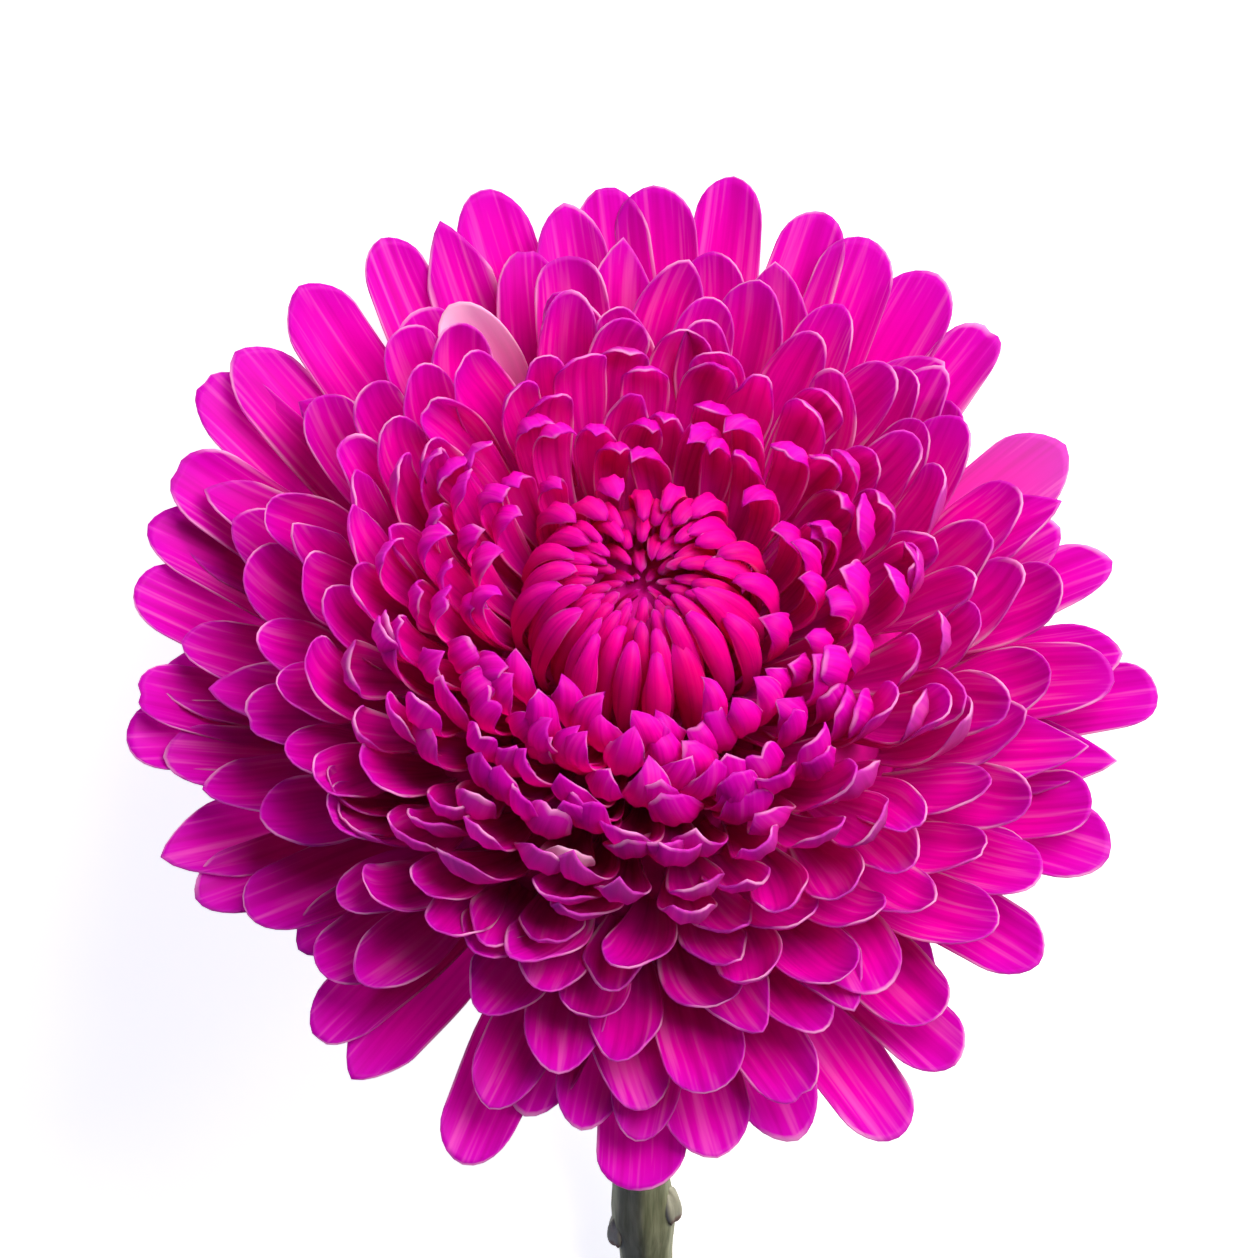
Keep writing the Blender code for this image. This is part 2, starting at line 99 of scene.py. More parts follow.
# How far a floret strays from its row at most: in degrees, millimetres or, for breadth and curl, as a share.
AZIMUTH_STRAY = 2.0
REACH_STRAY = 0.8
HEIGHT_STRAY = 1.0
LEAN_STRAY = 8.0
BREADTH_STRAY = 0.09
CURL_STRAY = 0.2
DRIFT_STRAY = 6.0
ROLL_STRAY = 11.0
# What the strays are multiplied by: at the rim, by reach in the spiral, and in the heart.
RIM_WILDNESS = 0.35
SPIRAL_WILDNESS = ((30.0, 1.6), (42.0, 1.0))
HEART_WILDNESS = 0.8

# The florets of the outline and those the bloom rests on: azimuth, reach from the axis, height of the tip.
RIM_FLORETS = (
    (358, 52, 1), (4, 49, 2), (14, 49, 4), (20, 46, 3), (29, 50, 5), (46, 52, 7), (54, 53, 8), (62, 52, 9),
    (69, 53, 9), (79, 55, 10), (86, 53, 10), (92, 53, 10), (99, 51, 10), (107, 55, 10), (114, 53, 10),
    (122, 54, 10), (132, 55, 9), (141, 54, 8), (147, 55, 7), (155, 53, 6), (158, 51, 2), (163, 53, 4),
    (171, 53, 3), (179, 50, 0), (182, 52, 2), (187, 52, 1), (193, 49, 0), (200, 52, -2), (206, 50, -3),
    (211, 47, -2), (220, 44, -3), (228, 49, -4), (235, 50, -5), (250, 52, -6), (257, 46, -6), (264, 47, -5),
    (270, 52, -7), (277, 50, -6), (286, 49, -6), (298, 53, -6), (307, 51, -5), (313, 43, -3), (325, 50, -3),
    (331, 45, -2), (341, 50, -2), (349, 49, 0),
)
# The outline's florets grow from the edge of the cup.
RIM_ROOT = (10.5, -13.2)
RESTING_FLORETS = ((63, 54.0, -5), (76, 49.5, -5), (90, 48.0, -5), (104, 49.5, -5), (117, 54.0, -5))
# Gaps in the outline: azimuth, half width and how far the florets inside of the gap reach.
NOTCHES = ((37, 7, 41.5), (214, 6, 38.0), (240, 6, 38.5), (302, 5, 43.0))
# The pieces of the bloom by the reach of their florets.
RINGS = (
    ("inner_ray_florets", 0.0, 27.0),
    ("middle_ray_florets", 27.0, 41.0),
    ("outer_ray_florets", 41.0, 99.0),
)

# Thickness of a floret's tissue, and the mesh of the flat blank that every floret is bent from.
TISSUE = 0.36
BLANK_ACROSS = 12
BLANK_ALONG = 16
HEART_BLANK_ACROSS = 8
HEART_BLANK_ALONG = 12
# How much closer together the blank's rows lie towards the end of the blade.
END_CROWDING = 1.4
# How high above the table a point is pressed up to where it would pass below it.
TABLE_PRESS = 0.05
# Shares of a floret's length: how far its handles pull, where its claw ends, where its tip starts to taper,
# to turn and to hook, and how far apart the points are that give its direction.
MIDLINE_PULL = 0.36
CLAW_END = 0.7
TAPER_FROM = 0.6
TURN_FROM = 0.55
HOOK_FROM = 0.7
TANGENT_STEP = 0.01
# A floret's end: how long a round and a pointed one are in shares of its breadth, the exponent of the point's
# outline, the half width of its notch, and how far its hook pulls it back for each millimetre that it rises.
ROUND_END = 0.52
POINTED_END = 0.92
POINT_POWER = 1.3
NOTCH_WIDTH = 0.22
HOOK_PULL = 0.45
# How much tighter the claw curls than the blade, and what the tissue loses to its edges and to its end.
CLAW_TIGHTER = 0.8
EDGE_THINNING = 0.5
END_THINNING = 0.35
# The ribs of a blade, and how the waves of its edges run along it and across it, in radians.
BLADE_RIBS = 3
RIBS_FADE = 0.7
WAVES_ALONG = 7
WAVES_ACROSS = 1.3
# The side of the bloom where the tips are most crumpled, and how broad a floret is that hooks in full.
CRUMPLED_AZIMUTH = 235.0
FULL_HOOK_BREADTH = 4.6

# Where the few pale florets stand, azimuth and reach, and how pale each is.
PALE_PLACES = ((120.0, 39.5, 1.0), (254.0, 30.0, 0.9), (29.0, 50.0, 0.12))

# The beds of floret claws inside the bloom and its heart, coloured dark as painted shade between the florets:
# radius and height along each outline.
BED_PROFILE = (
    (11.5, -13.4), (12.5, -11.8), (21.5, -7.5), (27.0, -1.5), (27.5, 4.0), (22.5, 9.6), (8.0, 12.4),
)
HEART_BED_PROFILE = ((7.0, 12.5), (8.0, 15.0), (7.2, 18.4), (4.0, 21.2))

# The cup's outline in the same way. Its neck closes over the top of the stem.
CUP_PROFILE = (
    (9.0, -14.7), (12.2, -14.9), (12.6, -16.2), (11.0, -18.6), (7.4, -21.4), (4.8, -23.4), (3.9, -25.4),
    (3.6, -27.4), (3.5, -27.7), (1.0, -27.7),
)
BED_SIDES = 24
HEART_BED_SIDES = 16
# Rows of bracts: number, root height, root radius, tip height, tip radius, breadth.
BRACT_ROWS = (
    (13, -22.4, 6.0, -17.9, 12.6, 4.4),
    (13, -20.6, 8.8, -16.3, 14.8, 4.6),
    (14, -18.8, 11.0, -14.9, 16.6, 4.8),
)
BRACT_CURL = 34.0
# How far a bract's root leans in and its tip leans out, in radians, from the straight line between them.
BRACT_ROOT_BOW = 0.2
BRACT_TIP_BOW = 0.15

# The stem starts at this height on the head's axis, and its length is its horizontal reach.
STEM_TOP = -26.3
STEM_REACH = 142.1
STEM_RADIUS = 2.65
STEM_NECK_SWELL = 0.7
STEM_NECK_LENGTH = 7.0
STEM_FOOT_SWELL = 0.4
STEM_SWAY = 1.2
# How far the cut at the foot slants back for each millimetre up.
STEM_CUT_SLANT = 0.7
# Leaf joints: reach along the stem, angle round it from its own right, and radius.
LEAF_JOINTS = (
    (14, 150, 1.0), (30, 20, 1.1), (47, 200, 1.1), (62, 85, 1.2), (70, 172, 1.0), (75.5, 165, 1.7),
    (79, 18, 1.5), (97, 120, 1.2), (113, 10, 1.3), (130, 165, 1.4),
)
JOINT_SWELL = 0.3
JOINT_SPREAD = 3.0
# A joint's bud in its own radii, outwards, round and along the stem, and how deep its middle is sunk.
JOINT_SHAPE = (0.75, 1.0, 1.35)
JOINT_SINK = 0.1
JOINT_LEAN = 0.1
JOINT_RIBS = 5
JOINT_RIB_HEIGHT = 0.12
# How fine the stem's mesh is, how its cut faces are divided, and its fine ribs.
STEM_SIDES = 42
STEM_CUTS = 170
CUT_INSETS = (0.12, 0.35, 0.3)
STEM_RIBS = 7
STEM_RIB_HEIGHT = 0.12
STEM_RIB_TWIST = 0.02
# How near to the stem's ends a point counts as on the cut.
CUT_NEARNESS = 0.01

# The camera stands 700 mm off and sees 125.8 mm across at the middle of the bloom.
CAMERA_ELEVATION = math.radians(55)
CAMERA_DISTANCE = 700.0
FRAME_WIDTH = 125.8
AIM_RIGHT = -1.3
AIM_UP = 6.1
SENSOR = 36.0


class Floret(NamedTuple):
    """One floret's place and shape, in the head's frame, lengths in millimetres and angles in radians."""

    azimuth: float
    root: tuple
    tip: tuple
    root_lean: float
    tip_lean: float
    breadth: float
    curl: float
    drift: float
    roll: float
    claw: float


class Manner(NamedTuple):
    """How one floret's blade is finished.

    The notch, hood, groove, wave and rim are in millimetres, the phase and the turn of its end in radians,
    and the rest are shares.
    """

    point: float
    notch: float
    hood: float
    groove: float
    wave: float
    phase: float
    end_curl: float
    end_turn: float
    taper: float
    rim: float
    tint: float


def notch_reach(azimuth, reach):
    """The reach of a floret after the notches in the outline have held it back."""
    for middle, half_width, limit in NOTCHES:
        apart = abs((azimuth - middle + 180) % 360 - 180)
        if apart < half_width:
            reach = min(reach, limit)
    return reach


def grown_floret(draw, rows, azimuth, tip_radius, tip_height=None, wild=1.0):
    """A floret by the rule for its tip radius, with its own seeded share of irregularity."""
    table = np.array(rows)
    height, root_radius, root_height, root_lean, tip_lean, breadth, curl = (
        float(np.interp(tip_radius, table[:, 0], table[:, column])) for column in range(1, 8)
    )
    if tip_height is not None:
        turn_up = LIFT_TURN * (tip_height - height)
        root_lean -= turn_up
        tip_lean -= turn_up
        height = tip_height
    jitter = [draw.uniform(-1, 1) for _ in range(8)]
    return Floret(
        azimuth=math.radians(azimuth + AZIMUTH_STRAY * wild * jitter[0]),
        root=(root_radius, root_height),
        tip=(tip_radius + REACH_STRAY * wild * jitter[1], height + HEIGHT_STRAY * wild * jitter[2]),
        root_lean=math.radians(root_lean),
        tip_lean=math.radians(tip_lean + LEAN_STRAY * wild * jitter[3]),
        breadth=breadth * (1 + BREADTH_STRAY * jitter[4]),
        curl=math.radians(curl * (1 + CURL_STRAY * jitter[5])),
        drift=math.radians(DRIFT_STRAY * wild * jitter[6]),
        roll=math.radians(ROLL_STRAY * wild * jitter[7]),
        claw=float(np.interp(tip_radius, *zip(*CLAW_SHARES))),
    )


def tilted_height(azimuth, tip_radius):
    """The height of a tip at this azimuth, by its row and the tilt of the outer ring."""
    rows = np.array(RAY_ROWS)
    share = float(np.interp(tip_radius, RING_TILT_RADII, (0.0, 1.0)))
    height = float(np.interp(tip_radius, rows[:, 0], rows[:, 1]))
    return height + RING_TILT * share * math.sin(math.radians(azimuth))


def ray_florets():
    """Every ray floret, the outline's first and then inwards in the golden spiral."""
    draw = random.Random(SEED)
    florets = [grown_floret(draw, RAY_ROWS, *placed, wild=RIM_WILDNESS) for placed in RIM_FLORETS]
    florets = [floret._replace(root=RIM_ROOT) for floret in florets]
    florets += [grown_floret(draw, RAY_ROWS, *placed, wild=0.0) for placed in RESTING_FLORETS]
    counts = np.array(RAY_COUNTS)
    for number in range(RAY_NUMBER):
        azimuth = number * GOLDEN_ANGLE % 360
        azimuth = (azimuth - math.degrees(CROWDING * math.cos(math.radians(azimuth)))) % 360
        radius = notch_reach(azimuth, float(np.interp(number, counts[:, 0], counts[:, 1])))
        height = tilted_height(azimuth, radius)
        wildness = float(np.interp(radius, *zip(*SPIRAL_WILDNESS)))
        florets.append(grown_floret(draw, RAY_ROWS, azimuth, radius, height, wildness))
    return florets


def heart_florets():
    """The small incurved florets over the middle, in the same spiral."""
    draw = random.Random(SEED + 1)
    counts = np.array(HEART_COUNTS)
    florets = []
    for number in range(HEART_NUMBER):
        radius = float(np.interp(number, counts[:, 0], counts[:, 1]))
        azimuth = number * GOLDEN_ANGLE % 360
        florets.append(grown_floret(draw, HEART_ROWS, azimuth, radius, wild=HEART_WILDNESS))
    return florets


def floret_manner(draw, floret):
    """The finish of a floret by where it stands.

    It is smooth and plain in the heart, hooked and ragged round it, and smooth and round outwards.
    """
    reach = floret.tip[0]
    inward = float(np.interp(reach, (6, 15, 36), (0.15, 1.0, 0.0)))
    ragged_side = max(0.0, math.cos(floret.azimuth - math.radians(CRUMPLED_AZIMUTH)))
    ragged = inward * (0.4 + 0.6 * ragged_side)
    # Towards the heart the ends are more and more pointed.
    curled = float(np.interp(reach, (12, 26), (1.0, 0.0)))
    sharp = draw.random() < 0.22 + 0.28 * inward + 0.6 * curled
    small = min(1.0, floret.breadth / FULL_HOOK_BREADTH)
    notched = draw.random() < 0.15 + 0.45 * ragged
    return Manner(
        point=draw.uniform(0.5 + 0.3 * curled, 1.0) if sharp else draw.uniform(0.0, 0.35),
        notch=draw.uniform(0.3, 0.8 + 1.0 * ragged) if notched and not sharp else 0.0,
        hood=small
        * (draw.uniform(0.8, 2.8) + inward * draw.uniform(0.0, 0.8) + ragged * draw.uniform(0.0, 1.6)),
        groove=draw.uniform(0.1, 0.2),
        wave=draw.uniform(0.05, 0.3) + ragged * draw.uniform(0.1, 0.7),
        phase=draw.uniform(0, 2 * math.pi),
        end_curl=draw.uniform(1.0, 1.9) + 0.3 * inward * draw.random(),
        end_turn=draw.uniform(-0.12, 0.12) + ragged * draw.uniform(-0.7, 0.7),
        taper=draw.uniform(-0.05, 0.16) + 0.32 * curled,
        rim=0.15 + 0.6 * draw.random() ** 2,
        tint=draw.random(),
    )


def midline(floret, along):
    """Points of the floret's middle line at shares of its length, a Bezier curve with a sideways drift."""
    root, tip = np.array(floret.root), np.array(floret.tip)
    handle = MIDLINE_PULL * np.linalg.norm(tip - root)
    leave = root + handle * np.array((math.sin(floret.root_lean), math.cos(floret.root_lean)))
    arrive = tip - handle * np.array((math.sin(floret.tip_lean), math.cos(floret.tip_lean)))
    back = 1 - along
    weights = np.stack((back**3, 3 * back**2 * along, 3 * back * along**2, along**3), axis=-1)
    radius, height = (weights @ np.stack((root, leave, arrive, tip))).T
    azimuth = floret.azimuth + floret.drift * along**2
    return np.stack((radius * np.cos(azimuth), radius * np.sin(azimuth), height), axis=-1), azimuth


def unit(vectors):
    """The vectors at length 1."""
    return vectors / np.linalg.norm(vectors, axis=-1, keepdims=True)


def floret_frames(floret, along, end_turn):
    """Centres, tangents, sideways and inward-facing directions of the floret's cross-sections."""
    centre, azimuth = midline(floret, along)
    tangent = unit(midline(floret, along + TANGENT_STEP)[0] - midline(floret, along - TANGENT_STEP)[0])
    sideways = np.stack((-np.sin(azimuth), np.cos(azimuth), np.zeros_like(azimuth)), axis=-1)
    facing = unit(np.cross(tangent, sideways))
    sideways = np.cross(facing, tangent)
    turn = (floret.roll * along + end_turn * last_part(along, TURN_FROM))[:, None]
    turned_side = sideways * np.cos(turn) + facing * np.sin(turn)
    turned_face = facing * np.cos(turn) - sideways * np.sin(turn)
    return centre, tangent, turned_side, turned_face


def smooth(share):
    """A soft step from 0 to 1."""
    share = np.clip(share, 0, 1)
    return share * share * (3 - 2 * share)


def last_part(along, start):
    """A soft step from 0 at this share of the length to 1 at the floret's end."""
    return smooth((along - start) / (1 - start))


def bent_floret(blank, floret, manner):
    """The blank's points bent to a floret, in the head's frame, and each one's distance from the edge."""
    across, lengthwise, side = blank.T
    # The mesh lines lie closer together towards the blade's edges and its end.
    across = np.sin(math.pi / 2 * across)
    lengthwise = 1 - (1 - lengthwise) ** END_CROWDING
    route, _ = midline(floret, np.linspace(0, 1, 12))
    length = np.linalg.norm(np.diff(route, axis=0), axis=1).sum()

    # What the end lacks of the full length: a round or pointed end, and its notch.
    rounded = 1 - np.sqrt(np.clip(1 - across**2, 0, 1))
    pointed = np.abs(across) ** POINT_POWER
    end_shape = (1 - manner.point) * rounded + manner.point * pointed
    end_share = ROUND_END + (POINTED_END - ROUND_END) * manner.point
    end_cut = floret.breadth * (end_share * end_shape)
    end_cut = end_cut + manner.notch * np.exp(-((across / NOTCH_WIDTH) ** 2))
    along = lengthwise * (length - end_cut) / length
    centre, tangent, sideways, facing = floret_frames(floret, along, manner.end_turn)

    # The cross-section is an arc, tighter in the claw and at the end, with fine ribs and a wavy edge.
    half = floret.breadth / 2 * (floret.claw + (1 - floret.claw) * smooth(along / CLAW_END))
    half = half * (1 - manner.taper * last_part(along, TAPER_FROM))
    tighter = 1 + CLAW_TIGHTER * (1 - smooth(along / 0.5))
    tighter = tighter + (manner.end_curl - 1) * last_part(along, TAPER_FROM)
    curl = floret.curl * tighter
    angle = curl * across
    out = half * np.sin(angle) / curl
    up = half * (1 - np.cos(angle)) / curl
    ribs = np.cos(BLADE_RIBS * math.pi * across) * smooth(along / 0.3)
    up = up + manner.groove * ribs * (1 - RIBS_FADE * last_part(along, 0.8))
    beat = np.sin(WAVES_ALONG * along + manner.phase + WAVES_ACROSS * across)
    up = up + manner.wave * np.abs(across) ** 3 * beat * smooth(along / 0.6)

    # The end hooks over inwards, and the tissue thins to its edges and its end.
    end = np.clip((along - HOOK_FROM) / (1 - HOOK_FROM), 0, 1)
    hood = manner.hood * end**2
    surface = centre + out[:, None] * sideways + (up + hood)[:, None] * facing
    surface = surface - (HOOK_PULL * hood * end)[:, None] * tangent
    normal = np.cos(angle)[:, None] * facing - np.sin(angle)[:, None] * sideways
    thickness = TISSUE * (1 - EDGE_THINNING * across**2) * (1 - END_THINNING * last_part(along, 0.8))
    surface = surface - (side * thickness)[:, None] * normal
    from_edge = np.minimum((1 - np.abs(across)) * half, (1 - lengthwise) * length)
    return surface, from_edge


def to_world(points):
    """Points of the head's frame, in millimetres, as world points in millimetres."""
    sine, cosine = math.sin(HEAD_TILT), math.cos(HEAD_TILT)
    axes = np.array(((-1, 0, 0), (0, -sine, -cosine), (0, -cosine, sine)))
    return points @ axes + HEAD_CENTRE


def lay_on_table(points):
    """Presses world points up to the table where they would pass below it."""
    pressed = points.copy()
    pressed[:, 2] = np.maximum(points[:, 2], TABLE_PRESS)
    return pressed


def coordinates(thing):
    """The points of a mesh object as an array."""
    points = np.empty(len(thing.data.vertices) * 3)
    thing.data.vertices.foreach_get("co", points)
    return points.reshape(-1, 3)


def set_coordinates(thing, points):
    """Gives a mesh object world points in millimetres."""
    thing.data.vertices.foreach_set("co", (points * MM).ravel())
    thing.data.update()


def set_values(thing, name, values):
    """Gives each point of a mesh a value that the materials read by this name."""
    layer = thing.data.attributes.new(name, "FLOAT", "POINT")
    layer.data.foreach_set("value", np.broadcast_to(values, len(thing.data.vertices)).astype(np.float32))


def smooth_faces(thing):
    """Lets all faces of a mesh shade as one soft surface."""
    for polygon in thing.data.polygons:
        polygon.use_smooth = True


def blade_blank(name, faces_across, faces_along):
    """A flat blade with two faces and a rim: X across from -1 to 1, Y along from 0 to 1, Z the side."""
    bpy.ops.object.select_all(action="DESELECT")
    bpy.ops.mesh.primitive_grid_add(x_subdivisions=faces_across, y_subdivisions=faces_along, size=2)
    blank = bpy.context.object
    blank.name = name
    bpy.ops.object.mode_set(mode="EDIT")
    bpy.ops.mesh.select_all(action="SELECT")
    bpy.ops.transform.resize(value=(1, 0.5, 1))
    bpy.ops.transform.translate(value=(0, 0.5, 0))
    bpy.ops.object.mode_set(mode="OBJECT")
    wall = blank.modifiers.new("tissue", "SOLIDIFY")
    wall.thickness = 1
    wall.offset = 0
    bpy.ops.object.modifier_apply(modifier=wall.name)
    blank.data.uv_layers[0].name = "floret"
    smooth_faces(blank)
    return blank


def copy_of(blank, name):
    """A copy of the blank with a mesh of its own."""
    copy = blank.copy()
    copy.data = blank.data.copy()
    copy.name = name
    bpy.context.scene.collection.objects.link(copy)
    return copy


def joined(pieces, name):
    """The pieces joined into one object of this name."""
    bpy.ops.object.select_all(action="DESELECT")
    for piece in pieces:
        piece.select_set(True)
    bpy.context.view_layer.objects.active = pieces[0]
    bpy.ops.object.join()
    pieces[0].name = name
    pieces[0].data.name = name
    return pieces[0]


def plane_point(azimuth, reach):
    """The point at this azimuth, in radians, and this distance from the axis."""
    return Vector((reach * math.cos(azimuth), reach * math.sin(azimuth)))


def pale_florets(florets):
    """The few florets with little colour, those nearest to the pale places, and how pale each is."""
    pale = {}
    for azimuth, reach, share in PALE_PLACES:
        place = plane_point(math.radians(azimuth), reach)
        nearest = min(florets, key=lambda floret: (plane_point(floret.azimuth, floret.tip[0]) - place).length)
        pale[nearest] = share
    return pale


def make_florets(name, blank, florets, draw, pale):
    """One piece of all these florets, each bent from the blank."""
    flat = coordinates(blank)
    pieces = []
    for floret in florets:
        manner = floret_manner(draw, floret)
        copy = copy_of(blank, name)
        surface, from_edge = bent_floret(flat, floret, manner)
        set_coordinates(copy, lay_on_table(to_world(surface)))
        set_values(copy, "edge_mm", from_edge)
        set_values(copy, "back", flat[:, 2] > 0)
        set_values(copy, "reach", floret.tip[0] / LARGEST_REACH)
        set_values(copy, "tint", manner.tint)
        set_values(copy, "rim_mm", manner.rim)
        set_values(copy, "pale", pale.get(floret, 0.0))
        pieces.append(copy)
    return joined(pieces, name)


def turned_piece(name, profile, sides):
    """A closed solid round the head's axis, extruded from ring to ring of its profile and rounded off."""
    bpy.ops.object.select_all(action="DESELECT")
    bpy.ops.mesh.primitive_circle_add(vertices=sides, radius=1, fill_type="NGON")
    piece = bpy.context.object
    bpy.ops.object.mode_set(mode="EDIT")
    bpy.ops.mesh.select_all(action="SELECT")
    radius, height = profile[0]
    bpy.ops.transform.resize(value=(radius, radius, 1))
    bpy.ops.transform.translate(value=(0, 0, height))
    for next_radius, next_height in profile[1:]:
        bpy.ops.mesh.extrude_region_move(TRANSFORM_OT_translate={"value": (0, 0, next_height - height)})
        share = next_radius / radius
        bpy.ops.transform.resize(value=(share, share, 1))
        radius, height = next_radius, next_height
    bpy.ops.mesh.select_all(action="SELECT")
    bpy.ops.mesh.normals_make_consistent(inside=False)
    bpy.ops.object.mode_set(mode="OBJECT")
    piece.name = name
    smoothing = piece.modifiers.new("rounded", "SUBSURF")
    smoothing.levels = 2
    smoothing.render_levels = 2
    bpy.ops.object.modifier_apply(modifier=smoothing.name)
    smooth_faces(piece)
    set_coordinates(piece, to_world(coordinates(piece)))
    return piece


def stem_centre(reach):
    """Points of the stem's middle line in world millimetres, by their horizontal reach from the cup."""
    top = HEAD_CENTRE + STEM_TOP * np.array((0, -math.cos(HEAD_TILT), math.sin(HEAD_TILT)))
    drop = top[2] - STEM_RADIUS
    bow = 2 * drop / math.tan(HEAD_TILT)
    height = STEM_RADIUS + drop * np.clip(1 - reach / bow, 0, None) ** 2
    sway = STEM_SWAY * np.sin(2 * math.pi * reach / STEM_REACH)
    return np.stack((top[0] + sway, top[1] + reach, height), axis=-1)


def stem_radius(reach):
    """The stem's radius: thick at the neck, swollen at each leaf joint, a little thicker to its foot."""
    radius = STEM_RADIUS + STEM_NECK_SWELL * np.exp(-reach / STEM_NECK_LENGTH)
    radius = radius + STEM_FOOT_SWELL * reach / STEM_REACH
    for joint, _, size in LEAF_JOINTS:
        radius = radius + JOINT_SWELL * size * np.exp(-(((reach - joint) / JOINT_SPREAD) ** 2))
    return radius


def stem_frames(reach):
    """Centres, sideways and upward directions and tangents of the stem's cross-sections."""
    step = 0.5
    centre = stem_centre(reach)
    tangent = unit(stem_centre(reach + step) - stem_centre(reach - step))
    across = np.array((1.0, 0.0, 0.0))
    sideways = unit(across - (tangent @ across)[:, None] * tangent)
    return centre, sideways, np.cross(sideways, tangent), tangent


def make_stem():
    """A straight rod with many rings, bent to the stem's route, ribbed, swollen at joints and cut aslant."""
    bpy.ops.object.select_all(action="DESELECT")
    bpy.ops.mesh.primitive_cylinder_add(vertices=STEM_SIDES, radius=1, depth=1, end_fill_type="NGON")
    stem = bpy.context.object
    bpy.ops.object.mode_set(mode="EDIT")
    bpy.ops.mesh.select_mode(type="EDGE")
    bpy.ops.mesh.select_all(action="DESELECT")
    bpy.ops.object.mode_set(mode="OBJECT")
    for edge in stem.data.edges:
        low, high = (stem.data.vertices[number].co for number in edge.vertices)
        edge.select = abs(low.z - high.z) > 0.5
    bpy.ops.object.mode_set(mode="EDIT")
    bpy.ops.mesh.subdivide(number_cuts=STEM_CUTS)
    bpy.ops.mesh.select_all(action="DESELECT")
    bpy.ops.object.mode_set(mode="OBJECT")
    for face in stem.data.polygons:
        face.select = abs(face.normal.z) > 0.9
    bpy.ops.object.mode_set(mode="EDIT")
    for thickness in CUT_INSETS:
        bpy.ops.mesh.inset(thickness=thickness)
    bpy.ops.object.mode_set(mode="OBJECT")
    stem.name = "stem_bark"
    rod = coordinates(stem)
    angle = np.arctan2(-rod[:, 1], rod[:, 0])
    from_middle = np.hypot(rod[:, 0], rod[:, 1])
    reach = (rod[:, 2] + 0.5) * STEM_REACH
    centre, sideways, upwards, _ = stem_frames(reach)
    ribs = STEM_RIB_HEIGHT * np.cos(STEM_RIBS * angle + STEM_RIB_TWIST * reach)
    radius = (stem_radius(reach) + ribs) * from_middle
    points = centre + radius[:, None] * (np.cos(angle)[:, None] * sideways + np.sin(angle)[:, None] * upwards)
    cut = reach > STEM_REACH - CUT_NEARNESS
    points[cut, 1] += STEM_CUT_SLANT * (STEM_RADIUS - points[cut, 2])
    set_coordinates(stem, lay_on_table(points))
    set_values(stem, "cut", np.maximum(cut, reach < CUT_NEARNESS))
    set_values(stem, "cut_depth", 1 - from_middle)
    smooth_faces(stem)
    return stem


def make_leaf_joints():
    """The stub of a stripped leaf with its bud, modelled once and set at each joint of the stem."""
    bpy.ops.object.select_all(action="DESELECT")
    bpy.ops.mesh.primitive_uv_sphere_add(segments=20, ring_count=14, radius=1)
    bump = bpy.context.object
    smooth_faces(bump)
    ball = coordinates(bump)
    pieces = []
    for reach, side, size in LEAF_JOINTS:
        centre, sideways, upwards, tangent = (part[0] for part in stem_frames(np.array([float(reach)])))
        side = math.radians(side)
        outward = math.cos(side) * sideways + math.sin(side) * upwards
        middle = centre + (stem_radius(reach) - JOINT_SINK * size) * outward
        ribs = JOINT_RIB_HEIGHT * np.cos(JOINT_RIBS * np.arctan2(ball[:, 1], ball[:, 0]))
        bud = ball * (1 + ribs)[:, None] * size * np.array(JOINT_SHAPE)
        # The end towards the bloom is sunk deeper, and the other end is the scar of the stripped leaf.
        points = middle + bud @ np.stack((outward, np.cross(tangent, outward), tangent))
        points = points - (JOINT_LEAN * size * (1 - ball[:, 2]))[:, None] * outward
        copy = copy_of(bump, "leaf_joint")
        set_coordinates(copy, lay_on_table(points))
        scar = smooth((ball[:, 2] - 0.1) / 0.5) * smooth((ball[:, 0] + 0.3) / 0.6)
        set_values(copy, "scar", 0.4 + 0.6 * scar)
        set_values(copy, "scar_depth", scar)
        pieces.append(copy)
    bpy.data.objects.remove(bump)
    return joined(pieces, "leaf_joints")


def make_bracts(blank):
    """The overlapping bracts of the cup, in rows, each bent from the blank."""
    draw = random.Random(SEED + 3)
    flat = coordinates(blank)
    pieces = []
    for row, numbers in enumerate(BRACT_ROWS):
        number, root_height, root_radius, tip_height, tip_radius, breadth = numbers
        lean = math.atan2(tip_radius - root_radius, tip_height - root_height)
        for place in range(number):
            bract = Floret(
                azimuth=2 * math.pi * (place + 0.5 * (row % 2)) / number,
                root=(root_radius, root_height),
                tip=(tip_radius, tip_height),
                root_lean=lean - BRACT_ROOT_BOW,
                tip_lean=lean + BRACT_TIP_BOW,
                breadth=breadth * draw.uniform(0.95, 1.1),
                curl=math.radians(BRACT_CURL),
                drift=math.radians(draw.uniform(-5, 5)),
                roll=math.radians(draw.uniform(-8, 8)),
                claw=1.0,
            )
            manner = Manner(
                point=0.7,
                notch=0.0,
                hood=draw.uniform(-0.3, 0.2),
                groove=0.05,
                wave=0.1,
                phase=draw.uniform(0, 6),
                end_curl=1.0,
                end_turn=0.0,
                taper=0.0,
                rim=0.5,
                tint=draw.random(),
            )
            copy = copy_of(blank, "bract")
            surface, from_edge = bent_floret(flat, bract, manner)
            set_coordinates(copy, to_world(surface))
            set_values(copy, "edge_mm", from_edge)
            set_values(copy, "tint", manner.tint)
            pieces.append(copy)
    return joined(pieces, "bracts")


def linear(colour):
    """An sRGB hex colour as linear RGBA."""
    channels = [int(colour[place : place + 2], 16) / 255 for place in (1, 3, 5)]
    return (*(c / 12.92 if c <= 0.04045 else ((c + 0.055) / 1.055) ** 2.4 for c in channels), 1.0)


